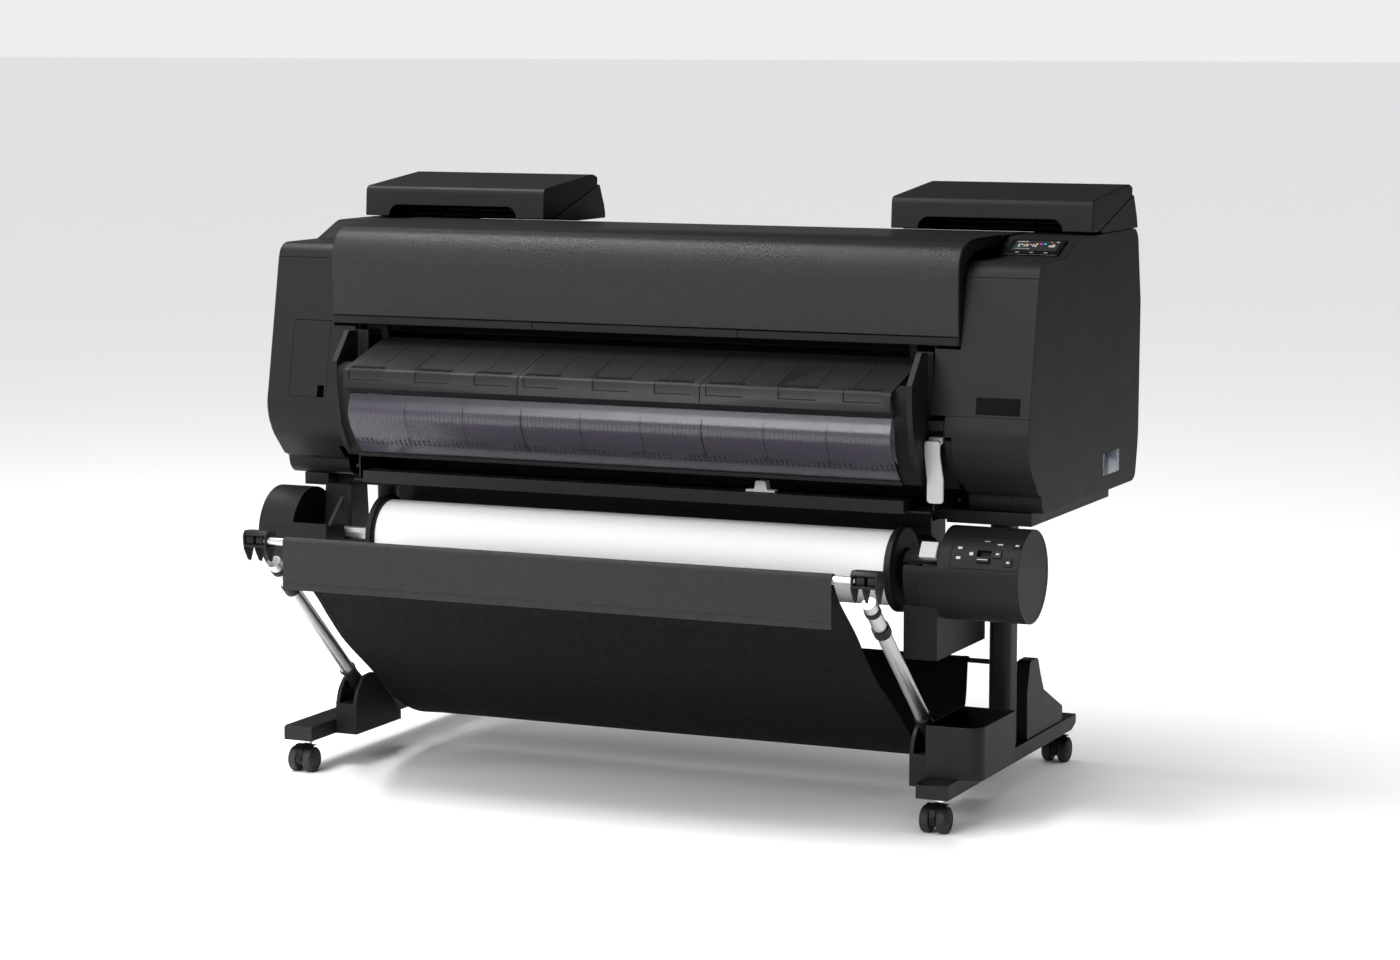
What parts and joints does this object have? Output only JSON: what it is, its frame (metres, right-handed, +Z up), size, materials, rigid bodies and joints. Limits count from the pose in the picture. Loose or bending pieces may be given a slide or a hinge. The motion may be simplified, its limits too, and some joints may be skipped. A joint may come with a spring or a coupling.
{
  "type": "large format plotter",
  "caption": "Floor-standing roll plotter with end cabinets, smoked roll cover, paper rolls, column stand on casters and a fabric catch basket.",
  "frame": {"origin": "on the floor under the middle of the machine's width and depth, with the basket let down in front", "axes": "+X to the operator's right, +Y towards the back of the machine, +Z up"},
  "size_m": [1.593, 1.032, 1.1523],
  "materials": {
    "case_plastic": "charcoal, finely textured",
    "dark_plastic": "black, satin",
    "frame_steel": "black powder coat",
    "smoked_window": "smoked, ribbed",
    "screen": "glossy",
    "light_grey_plastic": "satin",
    "brushed_silver": "satin anodised",
    "chrome": "polished",
    "paper": "matt coated paper",
    "basket_fabric": "black woven polyester",
    "caster_rubber": "satin black"
  },
  "bodies": {
    "root": {"left_cabinet": "case_plastic", "right_cabinet": "case_plastic", "display_panel": "screen", "rear_cover": "frame_steel", "top_deck": "case_plastic", "left_ink_bay": "dark_plastic", "right_ink_bay": "dark_plastic", "roll_bay_frame": "frame_steel", "platen": "dark_plastic", "carriage_rail": "frame_steel", "right_roll_housing": "case_plastic", "left_roll_housing": "case_plastic", "roll_unit_beam": "frame_steel", "base_frame": "frame_steel", "left_foot": "frame_steel", "left_column": "frame_steel", "left_arm_bracket": "dark_plastic", "right_foot": "frame_steel", "right_column": "frame_steel", "right_arm_bracket": "dark_plastic", "accessory_bin": "dark_plastic", "rear_rod": "frame_steel", "basket_cloth": "basket_fabric"},
    "top_cover": {"top_cover": "case_plastic"},
    "left_ink_cover": {"left_ink_cover": "case_plastic"},
    "right_ink_cover": {"right_ink_cover": "case_plastic"},
    "roll_cover": {"roll_cover": "case_plastic", "roll_cover_window": "smoked_window"},
    "maintenance_cover": {"maintenance_cover": "case_plastic"},
    "left_service_door": {"left_service_door": "case_plastic"},
    "release_lever": {"release_lever": "light_grey_plastic"},
    "slide_lever": {"slide_lever": "light_grey_plastic"},
    "print_carriage": {"print_carriage": "dark_plastic"},
    "feed_roller": {"feed_roller": "brushed_silver"},
    "lower_roll": {"paper_roll": "paper", "left_flange": "dark_plastic", "right_flange": "dark_plastic", "spool_shaft": "brushed_silver"},
    "upper_roll": {"upper_roll": "paper"},
    "lock_lever": {"lock_lever": "light_grey_plastic"},
    "drive_switch": {"drive_switch": "dark_plastic"},
    "load_key": {"load_key": "dark_plastic"},
    "up_key": {"up_key": "dark_plastic"},
    "down_key": {"down_key": "dark_plastic"},
    "panel_key_1": {"panel_key_1": "dark_plastic"},
    "panel_key_2": {"panel_key_2": "dark_plastic"},
    "panel_key_3": {"panel_key_3": "dark_plastic"},
    "basket_frame": {"left_arm": "brushed_silver", "right_arm": "brushed_silver", "left_rod_clip": "dark_plastic", "right_rod_clip": "dark_plastic", "front_rod": "brushed_silver"},
    "front_left_yoke": {"front_left_caster_yoke": "chrome"},
    "front_left_wheels": {"front_left_caster_wheels": "caster_rubber"},
    "rear_left_yoke": {"rear_left_caster_yoke": "chrome"},
    "rear_left_wheels": {"rear_left_caster_wheels": "caster_rubber"},
    "front_right_yoke": {"front_right_caster_yoke": "chrome"},
    "front_right_wheels": {"front_right_caster_wheels": "caster_rubber"},
    "rear_right_yoke": {"rear_right_caster_yoke": "chrome"},
    "rear_right_wheels": {"rear_right_caster_wheels": "caster_rubber"}
  },
  "joints": [
    {"name": "top_cover_hinge", "type": "hinge", "parent": "root", "child": "top_cover", "pos_m": [0, 0.0935, 1.0705], "axis": [-1, 0, 0], "range_deg": [0, 65]},
    {"name": "left_ink_cover_hinge", "type": "hinge", "parent": "root", "child": "left_ink_cover", "pos_m": [-0.567, 0.46, 1.14], "axis": [-1, 0, 0], "range_deg": [0, 65]},
    {"name": "right_ink_cover_hinge", "type": "hinge", "parent": "root", "child": "right_ink_cover", "pos_m": [0.5915, 0.46, 1.14], "axis": [-1, 0, 0], "range_deg": [0, 65]},
    {"name": "roll_cover_hinge", "type": "hinge", "parent": "root", "child": "roll_cover", "pos_m": [0, -0.112, 0.9], "axis": [-1, 0, 0], "range_deg": [0, 45]},
    {"name": "maintenance_cover_hinge", "type": "hinge", "parent": "root", "child": "maintenance_cover", "pos_m": [0.714, -0.1155, 0.621], "axis": [1, 0, 0], "range_deg": [0, 70]},
    {"name": "service_door_hinge", "type": "hinge", "parent": "root", "child": "left_service_door", "pos_m": [-0.7455, -0.15, 0.8055], "axis": [0, -0.1821, -0.9833], "range_deg": [0, 95]},
    {"name": "release_lever_pivot", "type": "hinge", "parent": "root", "child": "release_lever", "pos_m": [0.617, -0.156, 0.706], "axis": [-1, 0, 0], "range_deg": [0, 35]},
    {"name": "slide_lever_slide", "type": "slide", "parent": "root", "child": "slide_lever", "axis": [1, 0, 0], "range_m": [0, 0.02]},
    {"name": "carriage_slide", "type": "slide", "parent": "root", "child": "print_carriage", "axis": [1, 0, 0], "range_m": [-1.3, 0]},
    {"name": "feed_roller_spin", "type": "hinge", "parent": "root", "child": "feed_roller", "pos_m": [0, 0.056, 0.874], "axis": [1, 0, 0], "continuous": true},
    {"name": "lower_roll_spin", "type": "hinge", "parent": "root", "child": "lower_roll", "pos_m": [0, -0.132, 0.461], "axis": [1, 0, 0], "continuous": true},
    {"name": "upper_roll_spin", "type": "hinge", "parent": "root", "child": "upper_roll", "pos_m": [0, -0.107, 0.728], "axis": [1, 0, 0], "continuous": true},
    {"name": "lock_lever_turn", "type": "hinge", "parent": "root", "child": "lock_lever", "pos_m": [0.621, -0.127, 0.46], "axis": [-1, 0, 0], "range_deg": [0, 60]},
    {"name": "drive_switch_slide", "type": "slide", "parent": "root", "child": "drive_switch", "axis": [0, 0.5, 0.866], "range_m": [0, 0.014]},
    {"name": "load_key_press", "type": "slide", "parent": "root", "child": "load_key", "axis": [0, 0.83, -0.5577], "range_m": [0, 0.0012], "stiffness_N_per_m": 400},
    {"name": "up_key_press", "type": "slide", "parent": "root", "child": "up_key", "axis": [0, 0.682, -0.7314], "range_m": [0, 0.0012], "stiffness_N_per_m": 400},
    {"name": "down_key_press", "type": "slide", "parent": "root", "child": "down_key", "axis": [0, 0.9128, -0.4083], "range_m": [0, 0.0012], "stiffness_N_per_m": 400},
    {"name": "panel_key_1_press", "type": "slide", "parent": "root", "child": "panel_key_1", "axis": [0, 0, -1], "range_m": [0, 0.001], "stiffness_N_per_m": 400},
    {"name": "panel_key_2_press", "type": "slide", "parent": "root", "child": "panel_key_2", "axis": [0, 0, -1], "range_m": [0, 0.001], "stiffness_N_per_m": 400},
    {"name": "panel_key_3_press", "type": "slide", "parent": "root", "child": "panel_key_3", "axis": [0, 0, -1], "range_m": [0, 0.001], "stiffness_N_per_m": 400},
    {"name": "basket_fold", "type": "hinge", "parent": "root", "child": "basket_frame", "pos_m": [0, -0.142, 0.156], "axis": [-1, 0, 0], "range_deg": [0, 22]},
    {"name": "front_left_swivel", "type": "hinge", "parent": "root", "child": "front_left_yoke", "pos_m": [-0.662, -0.248, 0.06], "axis": [0, 0, 1], "continuous": true},
    {"name": "front_left_roll", "type": "hinge", "parent": "front_left_yoke", "child": "front_left_wheels", "pos_m": [-0.662, -0.263, 0.025], "axis": [1, 0, 0], "continuous": true},
    {"name": "rear_left_swivel", "type": "hinge", "parent": "root", "child": "rear_left_yoke", "pos_m": [-0.662, 0.449, 0.06], "axis": [0, 0, 1], "continuous": true},
    {"name": "rear_left_roll", "type": "hinge", "parent": "rear_left_yoke", "child": "rear_left_wheels", "pos_m": [-0.662, 0.434, 0.025], "axis": [1, 0, 0], "continuous": true},
    {"name": "front_right_swivel", "type": "hinge", "parent": "root", "child": "front_right_yoke", "pos_m": [0.662, -0.248, 0.06], "axis": [0, 0, 1], "continuous": true},
    {"name": "front_right_roll", "type": "hinge", "parent": "front_right_yoke", "child": "front_right_wheels", "pos_m": [0.662, -0.263, 0.025], "axis": [1, 0, 0], "continuous": true},
    {"name": "rear_right_swivel", "type": "hinge", "parent": "root", "child": "rear_right_yoke", "pos_m": [0.662, 0.449, 0.06], "axis": [0, 0, 1], "continuous": true},
    {"name": "rear_right_roll", "type": "hinge", "parent": "rear_right_yoke", "child": "rear_right_wheels", "pos_m": [0.662, 0.434, 0.025], "axis": [1, 0, 0], "continuous": true}
  ]
}
